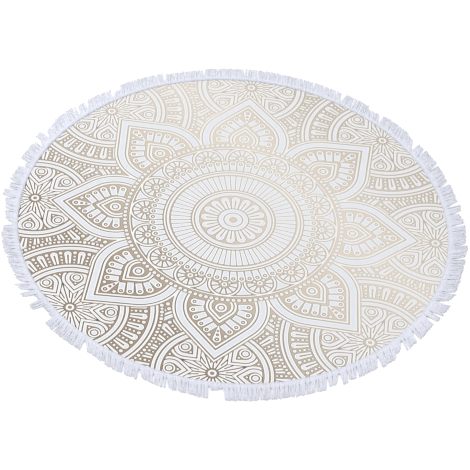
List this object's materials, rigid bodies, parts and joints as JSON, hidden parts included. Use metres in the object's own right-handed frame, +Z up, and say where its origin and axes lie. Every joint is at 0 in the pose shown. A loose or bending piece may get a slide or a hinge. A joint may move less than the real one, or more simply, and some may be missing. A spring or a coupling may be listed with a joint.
{
  "type": "round beach towel",
  "caption": "Round beach towel laid flat: one disc of printed short-pile cloth with a fringed heading tape sewn round its edge.",
  "frame": {"origin": "middle of the cloth's underside, on the plane that the towel lies on", "axes": "+Z up through the printed face; +X and +Y lie along two crossing axes of the printed mandala, through the star flowers at the rim"},
  "size_m": [1.49, 1.4976, 0.004],
  "materials": {
    "printed_cloth": "short cut pile, white ground printed with a gold-brown mandala",
    "white_yarn": "woven tape and loose twisted yarn, white"
  },
  "bodies": {
    "root": {"towel_cloth": "printed_cloth", "fringe_trim": "white_yarn"}
  },
  "joints": []
}
